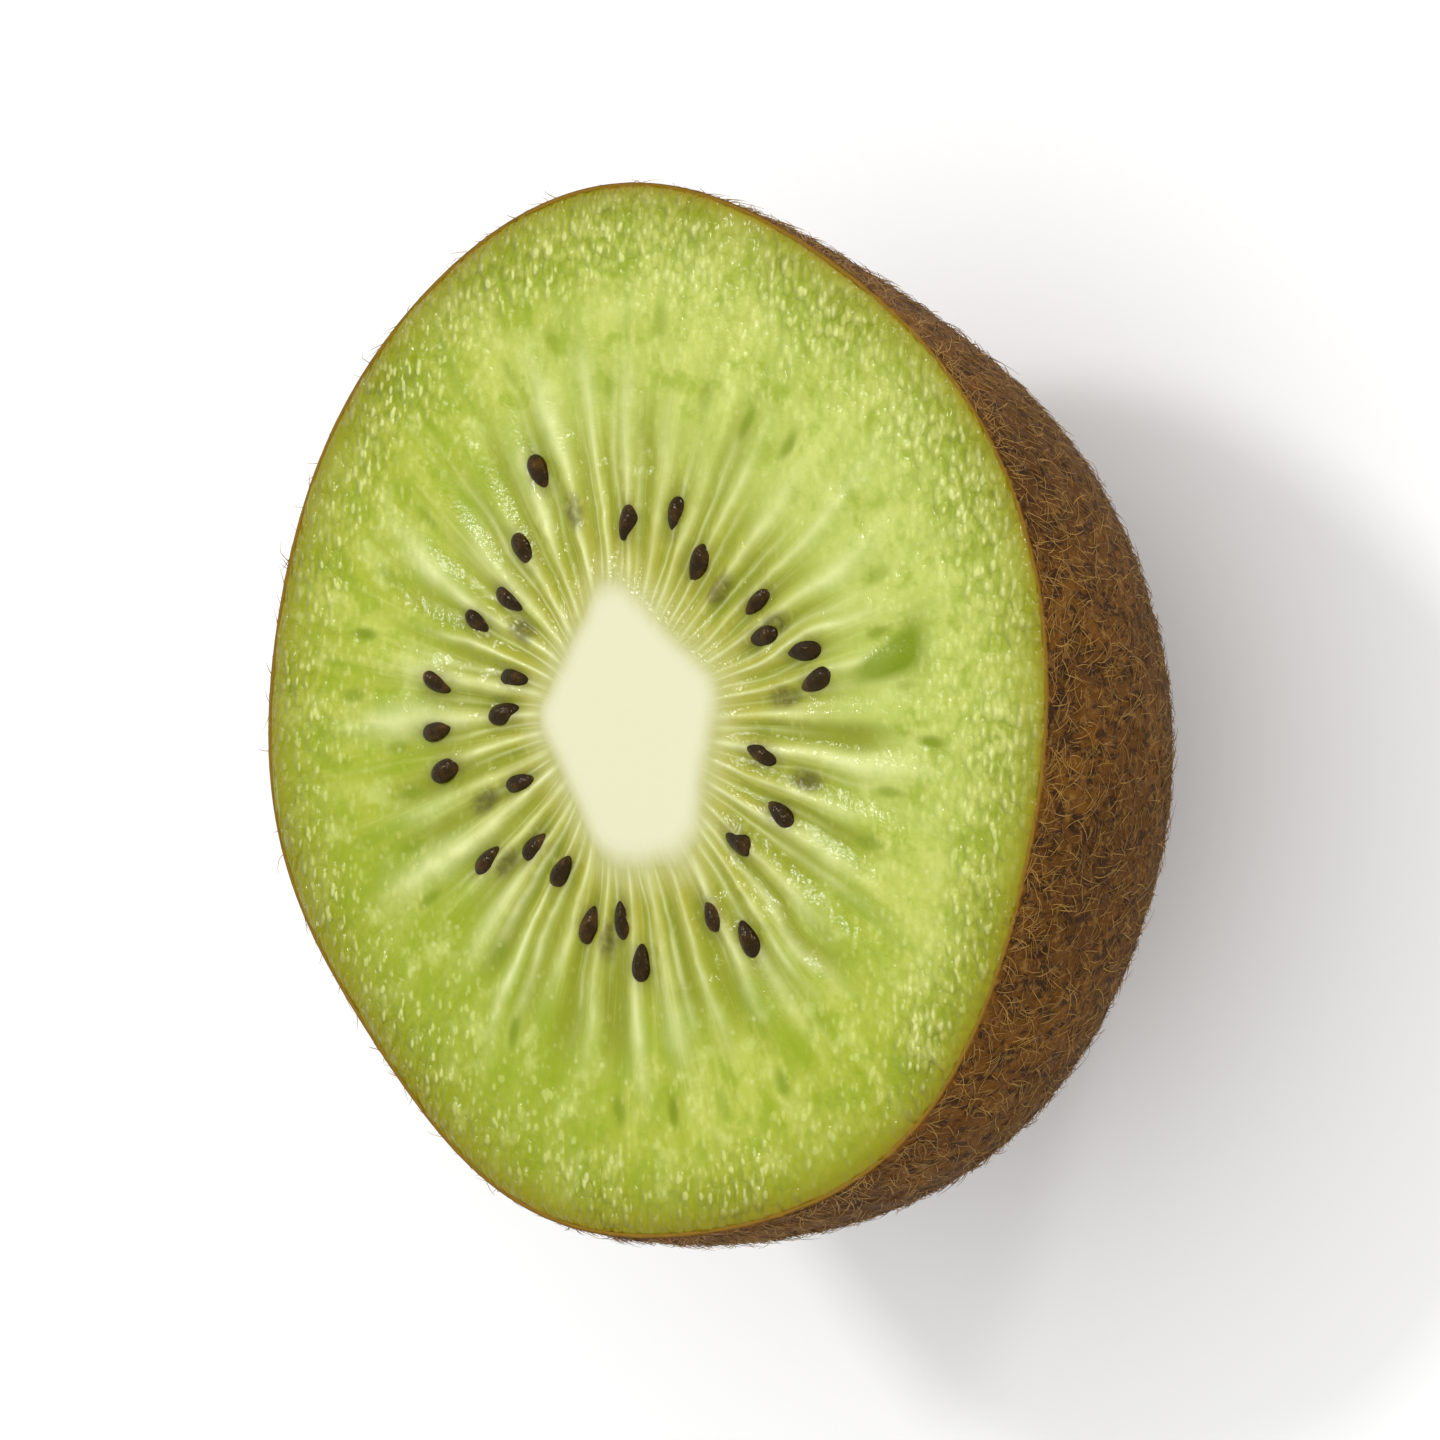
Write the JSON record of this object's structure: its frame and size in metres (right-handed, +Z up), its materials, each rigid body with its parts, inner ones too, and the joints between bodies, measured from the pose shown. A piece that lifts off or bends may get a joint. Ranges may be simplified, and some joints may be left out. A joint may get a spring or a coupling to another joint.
{
  "type": "kiwi fruit half",
  "caption": "Half of a green kiwi fruit cut across its middle: rounded hairy skin, flat cut face with a pale core, fine rays and small dark seeds.",
  "frame": {"origin": "centre of the flat underside of the stem scar, the spot that the half rests on", "axes": "+Z up through the level cut face, +Y along the longer way across that face, +X across it"},
  "size_m": [0.0511, 0.0547, 0.0272],
  "materials": {
    "flesh": "wet translucent fruit flesh, green, with a cream core and pale rays",
    "skin": "dry thin brown fruit skin, covered with short matted golden-brown hairs",
    "seed": "wet near-black purple-brown seed coat",
    "scar": "dry woody stem scar"
  },
  "bodies": {
    "root": {"kiwi_half": "flesh"}
  },
  "joints": []
}
